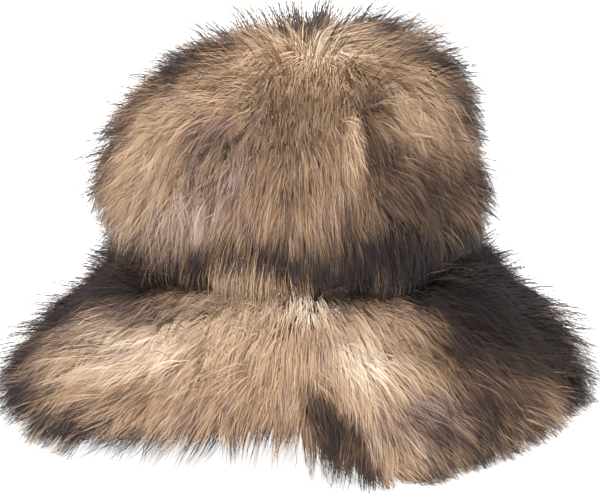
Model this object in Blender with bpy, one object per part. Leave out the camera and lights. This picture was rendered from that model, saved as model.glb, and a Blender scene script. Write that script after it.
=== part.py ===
"""Deep-pile fur bucket hat: a cloth crown and brim, each dressed in rows of fur locks.

The front faces -Y, +X is to the wearer's left, and the rim rests on the plane z = 0.
Bearings run from the front round by +X. Tables are in millimetres, the model in metres.
"""

import math
import random
from typing import NamedTuple

import bmesh
import bpy
from mathutils import Matrix, Vector

MM = 0.001

# Driving sizes
HEAD_GIRTH = 575.0
CLOTH = 2.5
GAP = 0.3
SEAM_HEIGHT = 91.0
CROWN_DEPTH = 124.0
FOOT_RADIUS = HEAD_GIRTH / (2 * math.pi) + CLOTH
WIDE = 0.985
DEEP = 1.015

# Where the tip panel ends and the band starts, as a share of the way down the crown's curve
TIP_SHARE = 0.425

# Mesh fineness
TIP_COLUMNS = 48
BAND_COLUMNS = 58
BRIM_COLUMNS = 74
CURVE_STEPS = 8
SHARP_ANGLE = 50

# Where the rings of each cloth lie, as shares of its way; its pile's backing has rings there too
HEM_SHARE = 0.93
TIP_STEPS = (0.25, 0.5, 0.75, 1.0)
BAND_STEPS = (0.0, 0.22, 0.45, 0.7, 1.0)
BRIM_STEPS = (0.0, 0.25, 0.5, 0.74, HEM_SHARE, 1.0)
BAND_BACKING = (0.02, 0.985)
BRIM_BACKING = 0.03

# How a lock is shaped between its root and its tip, whose height is that of its ridge
MIDDLE = 0.5
RIDGE_AT_MIDDLE = 0.82
VALLEY_AT_MIDDLE = 0.30
VALLEY_AT_TIP = 0.22

# Where a lock's ridge and its valleys end, as shares of the way to the next row
RIDGE_ENDS = 0.95
VALLEY_ENDS = 0.90

# How far one lock differs from the next, and the seed of the differences on each piece
LENGTH_SPREAD = 0.13
HEIGHT_SPREAD = 0.10
SLIP_SPREAD = 0.25
TIP_SEED = 11
BAND_SEED = 23
BRIM_SEED = 37

# How far the locks lie over to the side, away from the front, in millimetres at the tip
BRIM_SWEEP = 13.0
BAND_SWEEP = 6.0

# Shares of that: at the sides of the hat, half way along a lock, and in the valley between two locks
SWEEP_AT_SIDES = 0.65
SWEEP_AT_MIDDLE = 0.35
SWEEP_IN_VALLEY = 0.40

# Nearer to the axis than this, a sideways lean turns a point no further
TURNING_RADIUS = 20.0

# How far the last locks of each piece reach and where its pile ends, as shares of its cloth's way
TIP_REACH = 1.09
TIP_FOOT = 1.0
BAND_REACH = 0.885
BAND_FOOT = 0.955
BRIM_REACH = 1.32

# The hem of pile that wraps the rim
HEM_THICKNESS = 4.0
SOLE_SHARE = 1.15
SOLE_HEIGHT = 1.0


class Finish(NamedTuple):
    """A plain colour and roughness."""

    name: str
    colour: tuple
    roughness: float


class CrownKnot(NamedTuple):
    """A point of the crown's curve, as shares of the foot radius and of the crown's depth."""

    out: float
    up: float


class BrimKnot(NamedTuple):
    """A point of the brim's curve, as shares of its reach and of its drop."""

    out: float
    up: float


class Lobe(NamedTuple):
    """The brim at one bearing: how far it reaches past the seam and how high its rim is."""

    bearing: float
    reach: float
    lift: float


class Lean(NamedTuple):
    """How far the hat leans to +X at one height."""

    height: float
    shift: float


class Row(NamedTuple):
    """A row of locks: where it starts along the cloth, its depth of pile there and at its ridges."""

    start: float
    low: float
    high: float
    columns_each: int = 2


BACKING = Finish("backing_cloth", (0.160, 0.110, 0.075), 0.90)
TIP_PILE = Finish("tip_pile", (0.50, 0.36, 0.22), 0.75)
BAND_PILE = Finish("band_pile", (0.36, 0.25, 0.16), 0.75)
BRIM_PILE = Finish("brim_pile", (0.44, 0.31, 0.19), 0.75)

CROWN_KNOTS = (
    CrownKnot(0.000, 1.000),
    CrownKnot(0.400, 0.985),
    CrownKnot(0.700, 0.930),
    CrownKnot(0.905, 0.820),
    CrownKnot(1.000, 0.660),
    CrownKnot(1.030, 0.480),
    CrownKnot(1.022, 0.260),
    CrownKnot(1.000, 0.000),
)

BRIM_KNOTS = (
    BrimKnot(0.00, 1.00),
    BrimKnot(0.32, 0.84),
    BrimKnot(0.62, 0.61),
    BrimKnot(0.86, 0.33),
    BrimKnot(1.00, 0.00),
)

LOBES = (
    Lobe(0, 57, 42),
    Lobe(20, 60, 12),
    Lobe(40, 60, 12),
    Lobe(60, 60, 13),
    Lobe(80, 62, 13),
    Lobe(100, 62, 14),
    Lobe(120, 60, 13),
    Lobe(140, 58, 12),
    Lobe(160, 59, 13),
    Lobe(180, 60, 13),
    Lobe(200, 59, 13),
    Lobe(220, 58, 12),
    Lobe(240, 59, 12),
    Lobe(260, 61, 13),
    Lobe(280, 61, 15),
    Lobe(300, 60, 23),
    Lobe(320, 59, 33),
    Lobe(340, 58, 41),
)

LEANS = (
    Lean(0, 0),
    Lean(95, 2),
    Lean(135, -1),
    Lean(170, -1),
    Lean(210, 6),
    Lean(240, 12),
)

TIP_ROWS = (
    Row(0.06, 18, 25, 8),
    Row(0.30, 18, 27, 4),
    Row(0.58, 17, 27, 2),
    Row(0.83, 13, 25, 2),
)

BAND_ROWS = (
    Row(0.03, 10, 25),
    Row(0.24, 17, 28),
    Row(0.44, 18, 28),
    Row(0.62, 14, 25),
    Row(0.77, 9, 20),
)

BRIM_ROWS = (
    Row(0.08, 6, 16),
    Row(0.27, 10, 23),
    Row(0.47, 17, 27),
    Row(0.67, 18, 28),
    Row(0.86, 17, 27),
    Row(1.02, 12, 22),
)


class Curve:
    """A smooth curve through points (out, up), walked by shares of its length."""

    def __init__(self, knots):
        ends = [self._beyond(knots[1], knots[0]), *knots, self._beyond(knots[-2], knots[-1])]
        self.points = [knots[0]]
        for before, low, high, after in zip(ends, ends[1:], ends[2:], ends[3:]):
            for step in range(1, CURVE_STEPS + 1):
                self.points.append(blend4(before, low, high, after, step / CURVE_STEPS))
        self.lengths = [0.0]
        for low, high in zip(self.points, self.points[1:]):
            self.lengths.append(self.lengths[-1] + math.dist(low, high))

    @staticmethod
    def _beyond(inner, end):
        return tuple(2 * e - i for i, e in zip(inner, end))

    def at(self, share, height=0.0):
        """The point at this share of the length, raised off the curve; past an end it goes straight on."""
        want = share * self.lengths[-1]
        last = len(self.points) - 2
        index = next((i for i in range(last) if self.lengths[i + 1] >= want), last)
        low, high = self.points[index], self.points[index + 1]
        length = self.lengths[index + 1] - self.lengths[index]
        along = ((high[0] - low[0]) / length, (high[1] - low[1]) / length)
        rest = want - self.lengths[index]
        return (
            low[0] + along[0] * rest - along[1] * height,
            low[1] + along[1] * rest + along[0] * height,
        )


def blend(low, high, share):
    """A number between low and high."""
    return low + (high - low) * share


def blend4(before, low, high, after, share):
    """A point of the smooth curve that runs from low to high."""
    return tuple(
        0.5
        * (
            2 * b
            + (c - a) * share
            + (2 * a - 5 * b + 4 * c - d) * share**2
            + (3 * b - a - 3 * c + d) * share**3
        )
        for a, b, c, d in zip(before, low, high, after)
    )


def lobe_at(bearing):
    """Reach and lift of the brim at a bearing in radians, smooth all the way round."""
    place = (math.degrees(bearing) % 360) / 360 * len(LOBES)
    index = int(place)
    four = [LOBES[(index + step) % len(LOBES)][1:] for step in (-1, 0, 1, 2)]
    return blend4(*four, place - index)


def lean_at(height):
    """How far the hat leans to +X at a height."""
    for low, high in zip(LEANS, LEANS[1:]):
        if height <= high.height:
            share = max(height - low.height, 0) / (high.height - low.height)
            smooth = share * share * (3 - 2 * share)
            return blend(low.shift, high.shift, smooth)
    return LEANS[-1].shift


def place(bearing, radius, height):
    """A point of the hat from its bearing, distance from the axis and height, kept above the floor."""
    height = max(height, 0.0)
    return Vector(
        (
            WIDE * radius * math.sin(bearing) + lean_at(height),
            -DEEP * radius * math.cos(bearing),
            height,
        )
    )


def crown_curve(_bearing):
    """The crown's outer cloth, from the middle of the top down to the seam."""
    return Curve(
        [(k.out * FOOT_RADIUS, SEAM_HEIGHT + k.up * CROWN_DEPTH) for k in CROWN_KNOTS]
    )


def brim_curve(bearing):
    """The brim's outer cloth at one bearing, from the seam down to the rim."""
    reach, lift = lobe_at(bearing)
    return Curve(
        [
            (FOOT_RADIUS + k.out * reach, lift + k.up * (SEAM_HEIGHT - GAP - lift))
            for k in BRIM_KNOTS
        ]
    )


class Part:
    """One stretch of a curve, swept round the hat in a number of columns."""

    def __init__(self, curve, columns, start=0.0, end=1.0):
        self.bearings = [2 * math.pi * c / columns for c in range(columns)]
        self.start = start
        self.end = end
        shared = curve(0.0) if curve is crown_curve else None
        self.curves = [shared or curve(b) for b in self.bearings]

    def point(self, column, share, height, side=0.0, slip=0.0):
        """A point at this share of the stretch and this height off the cloth.

        It lies side millimetres and slip columns past its own column.
        """
        radius, up = self.curves[column].at(blend(self.start, self.end, share), height)
        turn = side / max(radius, TURNING_RADIUS) + slip * 2 * math.pi / len(self.bearings)
        return place(self.bearings[column] + turn, radius, up)

    def ring(self, share, height):
        """A level ring of points, each with its height off the cloth."""
        return [(self.point(c, share, height), height) for c in range(len(self.bearings))]


def wall_rings(part, shares):
    """The rings of a cloth wall: down its outside and up its inside."""
    outside = [part.ring(s, 0.0) for s in shares]
    inside = [part.ring(s, -CLOTH) for s in reversed(shares)]
    return outside + inside


def sweep_at(bearing, most):
    """How far the pile lies over to the side: none at the front and the back, most beside the front."""
    return most * math.sin(bearing) * blend(SWEEP_AT_SIDES, 1.0, math.cos(bearing))


def lock_rings(part, rows, reach, sweep, seed):
    """The rings of rows of locks, each row staggered from the one before and standing proud of it."""
    chance = random.Random(seed)
    rings = []
    ends = [*(row.start for row in rows[1:]), reach]
    for number, (row, end) in enumerate(zip(rows, ends)):
        offset = (number % 2) * row.columns_each // 2
        middle = []
        tips = []
        for column, bearing in enumerate(part.bearings):
            turn = 2 * math.pi * (column + offset) / row.columns_each
            ridge = 0.5 + 0.5 * math.cos(turn)
            longer = 1 - LENGTH_SPREAD * chance.random()
            depth = (row.high - row.low) * (1 + HEIGHT_SPREAD * chance.uniform(-1, 1))
            slip = SLIP_SPREAD * chance.uniform(-1, 1)
            side = sweep_at(bearing, sweep)
            share = blend(row.start, end, MIDDLE)
            height = row.low + depth * blend(VALLEY_AT_MIDDLE, RIDGE_AT_MIDDLE, ridge)
            middle.append((part.point(column, share, height, SWEEP_AT_MIDDLE * side, slip), height))
            share = blend(row.start, end, blend(VALLEY_ENDS, RIDGE_ENDS * longer, ridge))
            height = row.low + depth * blend(VALLEY_AT_TIP, 1.0, ridge)
            side *= blend(SWEEP_IN_VALLEY, 1.0, ridge)
            tips.append((part.point(column, share, height, side, slip), height))
        rings += [part.ring(row.start, row.low), middle, tips]
    return rings


def join_rings(name, rings, poles=None):
    """A closed mesh of triangles over rings of points; the diagonals run along the ridges.

    Without poles the last ring joins the first, and with them each end closes on its own point.
    """
    mesh = bpy.data.meshes.new(name)
    shape = bmesh.new()
    made = [[shape.verts.new(point * MM) for point, _ in ring] for ring in rings]
    pairs = list(zip(range(len(rings)), range(1, len(rings))))
    if poles is None:
        pairs.append((len(rings) - 1, 0))
    for first, second in pairs:
        for column in range(len(rings[first])):
            after = (column + 1) % len(rings[first])
            a, b = made[first][column], made[first][after]
            c, d = made[second][after], made[second][column]
            rise = rings[first][column][1] + rings[second][after][1]
            rise -= rings[first][after][1] + rings[second][column][1]
            if rise > 0 or (rise == 0 and a.co.z < d.co.z):
                shape.faces.new((a, b, c))
                shape.faces.new((a, c, d))
            else:
                shape.faces.new((a, b, d))
                shape.faces.new((b, c, d))
    for ring, pole in zip((made[0], made[-1]), poles or ()):
        middle = shape.verts.new(pole * MM)
        for column, vertex in enumerate(ring):
            shape.faces.new((vertex, ring[(column + 1) % len(ring)], middle))
    bmesh.ops.recalc_face_normals(shape, faces=shape.faces)
    shape.to_mesh(mesh)
    shape.free()
    mesh.shade_smooth()
    mesh.set_sharp_from_angle(angle=math.radians(SHARP_ANGLE))
    return mesh


def material_of(finish):
    """A plain material of this finish."""
    material = bpy.data.materials.new(finish.name)
    material.use_nodes = True
    shader = material.node_tree.nodes["Principled BSDF"]
    shader.inputs["Base Color"].default_value = (*finish.colour, 1.0)
    shader.inputs["Roughness"].default_value = finish.roughness
    shader.inputs["Metallic"].default_value = 0.0
    return material


def add(mesh, material, hat, foot):
    """An object of this mesh, hung on the hat's empty with its own origin at the foot's height."""
    mesh.materials.append(material)
    mesh.transform(Matrix.Translation((0, 0, -foot * MM)))
    piece = bpy.data.objects.new(mesh.name, mesh)
    bpy.context.scene.collection.objects.link(piece)
    piece.parent = hat
    piece.location.z = foot * MM
    return piece


def crown_tip():
    """The cloth panel that closes the top of the crown."""
    part = Part(crown_curve, TIP_COLUMNS, 0.0, TIP_SHARE)
    poles = [part.point(0, 0.0, h) for h in (0.0, -CLOTH)]
    return join_rings("crown_tip", wall_rings(part, TIP_STEPS), poles)


def crown_band():
    """The cloth wall round the head."""
    part = Part(crown_curve, BAND_COLUMNS, TIP_SHARE, 1.0)
    gap = GAP / (part.curves[0].lengths[-1] * (1 - TIP_SHARE))
    return join_rings("crown_band", wall_rings(part, (gap, *BAND_STEPS[1:])))


def brim_cloth():
    """The cloth ring that slopes from the seam down to the rim."""
    part = Part(brim_curve, BRIM_COLUMNS)
    return join_rings("brim_cloth", wall_rings(part, BRIM_STEPS))


def crown_tip_fur():
    """The pile on the tip panel, lying outwards from the middle."""
    part = Part(crown_curve, TIP_COLUMNS, 0.0, TIP_SHARE)
    rings = lock_rings(part, TIP_ROWS, TIP_REACH, 0.0, TIP_SEED)
    rings.append(part.ring(TIP_FOOT, TIP_ROWS[-1].low))
    rings += [part.ring(share, GAP) for share in reversed(TIP_STEPS)]
    poles = [part.point(0, 0.0, h) for h in (TIP_ROWS[0].high, GAP)]
    return join_rings("crown_tip_fur", rings, poles)


def crown_band_fur():
    """The pile on the crown band, hanging down and outwards."""
    part = Part(crown_curve, BAND_COLUMNS, TIP_SHARE, 1.0)
    rings = lock_rings(part, BAND_ROWS, BAND_REACH, BAND_SWEEP, BAND_SEED)
    rings.append(part.ring(BAND_FOOT, BAND_ROWS[-1].low))
    top, foot = BAND_BACKING
    rings += [part.ring(share, GAP) for share in (foot, *BAND_STEPS[-2:0:-1], top)]
    return join_rings("crown_band_fur", rings)


def brim_fur():
    """The pile on the brim, fanning outwards and down past the rim and wrapped under it."""
    part = Part(brim_curve, BRIM_COLUMNS)
    rings = lock_rings(part, BRIM_ROWS, BRIM_REACH, BRIM_SWEEP, BRIM_SEED)
    under = -CLOTH - GAP
    length = part.curves[0].lengths[-1]
    edge = 1 + GAP / length
    rings.append(part.ring(SOLE_SHARE, SOLE_HEIGHT))
    rings.append(part.ring(edge + HEM_THICKNESS / length, under - HEM_THICKNESS))
    rings.append(part.ring(HEM_SHARE, under - HEM_THICKNESS))
    rings.append(part.ring(HEM_SHARE, under))
    rings.append(part.ring(edge, under))
    rings += [part.ring(share, GAP) for share in (edge, *BRIM_STEPS[-2:0:-1], BRIM_BACKING)]
    return join_rings("brim_fur", rings)


def stand_at_origin(hat, pieces):
    """Moves the hat so that the middle of its footprint is at the origin."""
    bpy.context.view_layer.update()
    corners = [p.matrix_world @ v.co for p in pieces for v in p.data.vertices]
    for axis in (0, 1):
        values = [c[axis] for c in corners]
        hat.location[axis] = -(min(values) + max(values)) / 2


def build():
    """Builds the whole hat."""
    for old in list(bpy.data.objects):
        bpy.data.objects.remove(old)
    backing = material_of(BACKING)
    hat = bpy.data.objects.new("hat", None)
    bpy.context.scene.collection.objects.link(hat)
    pieces = [
        add(crown_tip(), backing, hat, SEAM_HEIGHT),
        add(crown_band(), backing, hat, SEAM_HEIGHT),
        add(brim_cloth(), backing, hat, 0.0),
        add(crown_tip_fur(), material_of(TIP_PILE), hat, SEAM_HEIGHT),
        add(crown_band_fur(), material_of(BAND_PILE), hat, SEAM_HEIGHT),
        add(brim_fur(), material_of(BRIM_PILE), hat, 0.0),
    ]
    stand_at_origin(hat, pieces)


build()
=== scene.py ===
"""Deep-pile fur bucket hat, dressed: single hairs on a knitted backing, in a plain pale studio.

The frame is in metres. The front of the hat faces -Y, +X is to the wearer's left, and the rim rests on
z = 0. Every hair is a thin tapered ribbon. Its place on the hair chart, a UV map, gives its colour: the
row is its cast and tone, the way up the row is the way along the hair, and the way across is how light
a plain hair is, up to CHART_DARK, and then how much of the hair is dark.
"""

import logging
import math
from dataclasses import dataclass
from enum import Enum
from typing import ClassVar, Optional

import bpy
import numpy as np
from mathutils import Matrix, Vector
from mathutils.kdtree import KDTree


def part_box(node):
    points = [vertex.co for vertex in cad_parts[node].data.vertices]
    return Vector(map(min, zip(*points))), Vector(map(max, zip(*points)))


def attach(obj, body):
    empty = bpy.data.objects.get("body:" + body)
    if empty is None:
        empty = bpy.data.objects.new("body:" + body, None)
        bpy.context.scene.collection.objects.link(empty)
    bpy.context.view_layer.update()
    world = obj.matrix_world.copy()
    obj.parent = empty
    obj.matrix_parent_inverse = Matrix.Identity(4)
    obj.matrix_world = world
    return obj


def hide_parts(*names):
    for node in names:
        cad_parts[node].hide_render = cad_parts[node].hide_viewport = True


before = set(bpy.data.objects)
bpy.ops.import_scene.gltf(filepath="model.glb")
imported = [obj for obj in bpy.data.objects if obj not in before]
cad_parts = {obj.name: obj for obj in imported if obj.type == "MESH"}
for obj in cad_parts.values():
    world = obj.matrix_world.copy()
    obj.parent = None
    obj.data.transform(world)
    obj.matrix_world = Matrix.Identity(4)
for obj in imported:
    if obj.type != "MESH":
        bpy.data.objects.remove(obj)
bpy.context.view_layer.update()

LOG = logging.getLogger("fur_bucket_hat")
MM = 0.001
TINY = 1e-12
CHART = "OFBake"
CHART_INSET = 0.06
CHART_HALF_WIDTH = 0.006
CHART_DARK = 0.5
TONES = 12
FLOOR_GAP = 0.0004
PHOTO_WIDTH = 600
PHOTO_HEIGHT = 497
SENSOR_WIDTH = 36.0


class Cast(Enum):
    """The two casts of the dyed pile, each a half of the hair chart."""

    WARM = 0
    COOL = 1


class Coat(Enum):
    """The coats of the pile: each a cast and a tone from 0, near black, to 1, pale cream."""

    HONEY = (Cast.WARM, 0.78)
    TAN = (Cast.WARM, 0.60)
    CREAM = (Cast.WARM, 0.97)
    ROSE = (Cast.COOL, 0.60)
    CHESTNUT = (Cast.WARM, 0.40)
    TAUPE = (Cast.COOL, 0.40)
    UMBER = (Cast.WARM, 0.18)
    SABLE = (Cast.COOL, 0.03)


@dataclass(frozen=True)
class Dye:
    """The colour of a cast at one tone, as the display shows it, from 0 to 255."""

    tone: float
    colour: tuple[int, int, int]


DYES = {
    Cast.WARM: (
        Dye(0.00, (22, 18, 18)),
        Dye(0.18, (78, 63, 53)),
        Dye(0.40, (132, 104, 81)),
        Dye(0.60, (178, 147, 118)),
        Dye(0.80, (214, 185, 155)),
        Dye(1.00, (250, 231, 210)),
    ),
    Cast.COOL: (
        Dye(0.00, (22, 18, 19)),
        Dye(0.18, (76, 62, 58)),
        Dye(0.40, (132, 109, 98)),
        Dye(0.60, (178, 152, 139)),
        Dye(0.80, (212, 190, 176)),
        Dye(1.00, (248, 232, 220)),
    ),
}


class Kind(Enum):
    """The kinds of hair in the pile: short and dense, long and lying, sparse and upright."""

    UNDERFUR = "underfur"
    AWN = "awn_hair"
    GUARD = "guard_hair"


@dataclass(frozen=True)
class HairKind:
    """How the hairs of one kind grow, in millimetres and degrees.

    The sag is taken from a hair's way up, more and more towards its tip. The pulls are how far a hair
    leans to the middle of its tuft. The dark odds hold where the markings' own are 0 and 1.
    """

    kind: Kind
    length: float
    length_spread: float
    width: float
    joints: int
    root_lift: float
    tip_lift: float
    sag: float
    lock_pull: float
    clump_pull: float
    stray: float
    dark_odds: tuple[float, float]
    dark_share: float


UNDERFUR = HairKind(
    Kind.UNDERFUR, length=25.5, length_spread=0.14, width=0.64, joints=2, root_lift=72, tip_lift=0,
    sag=0.20, lock_pull=0.18, clump_pull=0.16, stray=7, dark_odds=(-0.35, 0.55), dark_share=0.30,
)
AWN = HairKind(
    Kind.AWN, length=39, length_spread=0.14, width=0.34, joints=3, root_lift=64, tip_lift=-13,
    sag=0.26, lock_pull=0.24, clump_pull=0.28, stray=5, dark_odds=(0.0, 1.0), dark_share=0.42,
)
GUARD = HairKind(
    Kind.GUARD, length=41, length_spread=0.12, width=0.40, joints=4, root_lift=86, tip_lift=32,
    sag=0.10, lock_pull=0.18, clump_pull=0.24, stray=8, dark_odds=(0.12, 1.0), dark_share=0.56,
)


@dataclass(frozen=True)
class Gathering:
    """How hairs gather into tufts of one size, in millimetres and degrees."""

    spacing: float
    turn: float
    lift: float
    stretch: float


LOCKS = Gathering(spacing=19, turn=11, lift=6, stretch=0.10)
CLUMPS = Gathering(spacing=5.0, turn=6, lift=5, stretch=0.07)


@dataclass(frozen=True)
class Spot:
    """A spot on the hat and how far round it the pile is changed, in millimetres."""

    across: float
    back: float
    up: float
    reach: float

    def away(self, points: np.ndarray) -> np.ndarray:
        """The way from the spot to each point."""
        return points - np.array([self.across, self.back, self.up]) * MM

    def near(self, points: np.ndarray) -> np.ndarray:
        """How near each point is, from 1 at the spot to almost 0 far out."""
        return np.exp(-((np.linalg.norm(self.away(points), axis=1) / (self.reach * MM)) ** 2))


@dataclass(frozen=True)
class Parting(Spot):
    """A spot that the pile is combed away from."""

    pull: float


CROWN_PARTINGS = (Parting(10, -20, 228, 60, 1.2),)
CROWN_LEAN = (0.45, 1.0, -1.0)
CROWN_DOME = 0.115
BRIM_LEAN = (1.30, 0.90, -0.90)
BRIM_PARTINGS = (
    Parting(6, -55, 112, 150, 0.80),
    Parting(30, -135, 62, 50, 0.25),
)


@dataclass(frozen=True)
class Trim(Spot):
    """A spot where the pile is cut, or left longer, to a share of its length."""

    keep: float


CROWN_TRIMS = (
    Trim(-92, 0, 205, 45, 0.84),
    Trim(42, 24, 226, 52, 2.15),
    Trim(-30, 34, 227, 45, 1.14),
    Trim(90, 24, 196, 38, 0.52),
    Trim(-120, 0, 165, 48, 1.44),
    Trim(122, 0, 130, 40, 1.20),
    Trim(-124, 0, 100, 36, 0.34),
    Trim(128, 0, 92, 26, 0.60),
)
BRIM_TRIMS = (
    Trim(160, 0, 62, 50, 2.10),
    Trim(168, -50, 5, 44, 0.66),
    Trim(-158, 0, 56, 38, 1.62),
    Trim(-168, 0, 15, 50, 1.36),
    Trim(-85, -150, 15, 48, 1.60),
    Trim(-34, -160, 20, 26, 0.62),
    Trim(52, -178, 5, 30, 1.34),
    Trim(104, -140, 12, 30, 0.80),
    Trim(-150, -85, 5, 50, 1.40),
    Trim(-118, 0, 85, 34, 0.22),
    Trim(118, 0, 85, 34, 0.24),
)


@dataclass(frozen=True)
class Patch:
    """An oval of colour on the hat as the photo's camera sees it, in the photo's pixels.

    The oval is across by down in half sizes and turned by tilt degrees, anticlockwise. Strength is the
    share of the hairs that take the coat, and tips the odds that a hair there ends dark. The dark ovals
    along the seam under the crown paint shade as well as dark hair.
    """

    x: float
    y: float
    across: float
    down: float
    tilt: float
    coat: Coat
    strength: float
    tips: float


CROWN_COATS = (0.12, 0.44, 0.0, 0.14, 0.20, 0.10, 0.0, 0.0)
BRIM_COATS = (0.22, 0.40, 0.10, 0.12, 0.10, 0.06, 0.0, 0.0)
CROWN_PATCHES = (
    Patch(300, 60, 190, 60, 0, Coat.TAN, 0.70, 0.30),
    Patch(278, 130, 76, 40, 0, Coat.CHESTNUT, 0.60, 0.45),
    Patch(318, 50, 92, 36, 0, Coat.HONEY, 1.00, 0.06),
    Patch(334, 46, 50, 19, 0, Coat.CREAM, 0.60, 0.04),
    Patch(172, 62, 80, 15, 42, Coat.SABLE, 0.35, 1.00),
    Patch(318, -2, 130, 15, 0, Coat.SABLE, 0.80, 1.00),
    Patch(386, 12, 46, 20, -20, Coat.SABLE, 0.80, 1.00),
    Patch(470, 94, 12, 36, 14, Coat.SABLE, 0.25, 1.00),
    Patch(442, 44, 64, 16, -42, Coat.SABLE, 0.60, 1.00),
    Patch(490, 150, 13, 86, 4, Coat.SABLE, 0.70, 1.00),
    Patch(92, 165, 14, 60, -4, Coat.SABLE, 0.60, 1.00),
    Patch(155, 125, 60, 26, 44, Coat.HONEY, 0.60, 0.15),
    Patch(197, 150, 16, 36, -32, Coat.TAUPE, 0.85, 0.50),
    Patch(130, 195, 40, 50, 0, Coat.HONEY, 0.50, 0.20),
    Patch(190, 212, 56, 34, 30, Coat.ROSE, 0.95, 0.25),
    Patch(255, 180, 66, 44, 0, Coat.CHESTNUT, 0.50, 0.40),
    Patch(383, 168, 36, 84, 8, Coat.UMBER, 0.66, 0.60),
    Patch(344, 224, 24, 26, 0, Coat.UMBER, 0.45, 0.55),
    Patch(354, 150, 12, 36, 0, Coat.HONEY, 0.80, 0.05),
    Patch(428, 112, 34, 34, 40, Coat.HONEY, 0.75, 0.10),
    Patch(448, 218, 46, 58, 10, Coat.UMBER, 0.72, 0.70),
    # Painted shade: the dark umber and sable ovals below, along the foot of the crown at its seam with
    # the brim, are partly dark hair and partly painted shadow under the crown's overhang.
    Patch(310, 250, 130, 16, 0, Coat.UMBER, 0.35, 0.55),
    Patch(160, 270, 110, 20, -4, Coat.UMBER, 0.55, 0.75),
    Patch(300, 276, 110, 17, 0, Coat.UMBER, 0.95, 0.85),
    Patch(250, 294, 46, 13, 0, Coat.HONEY, 0.70, 0.20),
    Patch(254, 267, 60, 8, 0, Coat.UMBER, 0.90, 0.90),
    Patch(172, 264, 72, 8, -4, Coat.SABLE, 0.80, 0.90),
    Patch(304, 272, 62, 13, 0, Coat.UMBER, 0.85, 0.85),
    Patch(425, 278, 90, 32, 0, Coat.SABLE, 1.00, 0.90),
    Patch(311, 306, 26, 12, 0, Coat.CREAM, 1.00, 0.02),
)
BRIM_PATCHES = (
    Patch(185, 282, 56, 14, -6, Coat.SABLE, 0.95, 0.85),
    Patch(90, 292, 96, 24, 14, Coat.SABLE, 0.92, 0.90),
    # Painted shade: this thin dark umber line along the seam is partly dark hair and partly painted
    # shadow under the crown's overhang.
    Patch(290, 266, 110, 8, 0, Coat.UMBER, 1.00, 0.80),
    Patch(90, 258, 46, 24, 20, Coat.UMBER, 0.55, 0.80),
    Patch(510, 262, 46, 26, -20, Coat.SABLE, 1.00, 0.90),
    Patch(480, 296, 110, 32, -10, Coat.SABLE, 1.00, 0.95),
    Patch(512, 352, 84, 56, -22, Coat.UMBER, 0.88, 0.75),
    Patch(510, 325, 90, 36, -16, Coat.SABLE, 0.75, 0.85),
    Patch(140, 352, 90, 34, 8, Coat.CREAM, 0.75, 0.08),
    Patch(192, 350, 46, 32, 10, Coat.CREAM, 0.60, 0.06),
    Patch(238, 338, 62, 54, 0, Coat.HONEY, 1.00, 0.05),
    Patch(240, 384, 60, 22, 0, Coat.TAN, 0.70, 0.15),
    Patch(75, 352, 54, 7, -4, Coat.TAUPE, 0.60, 0.80),
    Patch(150, 330, 44, 5, -12, Coat.TAUPE, 0.30, 0.60),
    Patch(115, 394, 44, 5, 18, Coat.CHESTNUT, 0.60, 0.80),
    Patch(180, 374, 34, 5, 30, Coat.CHESTNUT, 0.20, 0.50),
    Patch(180, 414, 130, 16, -6, Coat.CHESTNUT, 0.40, 0.50),
    Patch(311, 305, 34, 25, 0, Coat.CREAM, 1.00, 0.02),
    Patch(384, 292, 48, 24, -4, Coat.SABLE, 1.00, 0.90),
    Patch(52, 312, 40, 14, 40, Coat.SABLE, 0.85, 0.95),
    Patch(556, 308, 44, 16, -40, Coat.SABLE, 0.95, 0.95),
    Patch(576, 340, 22, 32, 30, Coat.SABLE, 0.96, 0.95),
    Patch(374, 368, 42, 30, -38, Coat.CREAM, 0.95, 0.04),
    Patch(360, 408, 44, 22, -20, Coat.HONEY, 0.60, 0.10),
    Patch(450, 424, 74, 26, 12, Coat.TAUPE, 0.80, 0.50),
    Patch(328, 430, 18, 38, 35, Coat.UMBER, 0.95, 0.85),
    Patch(487, 402, 24, 14, -20, Coat.UMBER, 0.80, 0.60),
    Patch(502, 426, 54, 20, 22, Coat.UMBER, 0.75, 0.80),
    Patch(112, 310, 74, 13, -8, Coat.TAUPE, 0.50, 0.50),
    Patch(70, 436, 96, 16, -16, Coat.SABLE, 0.90, 1.00),
    Patch(190, 454, 115, 15, 0, Coat.SABLE, 0.85, 1.00),
    Patch(8, 370, 16, 60, 0, Coat.SABLE, 0.95, 0.95),
    Patch(588, 370, 18, 60, 0, Coat.SABLE, 0.60, 1.00),
    Patch(470, 468, 120, 16, 19, Coat.UMBER, 0.30, 0.95),
    Patch(350, 484, 60, 20, -30, Coat.UMBER, 0.90, 0.95),
)


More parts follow.
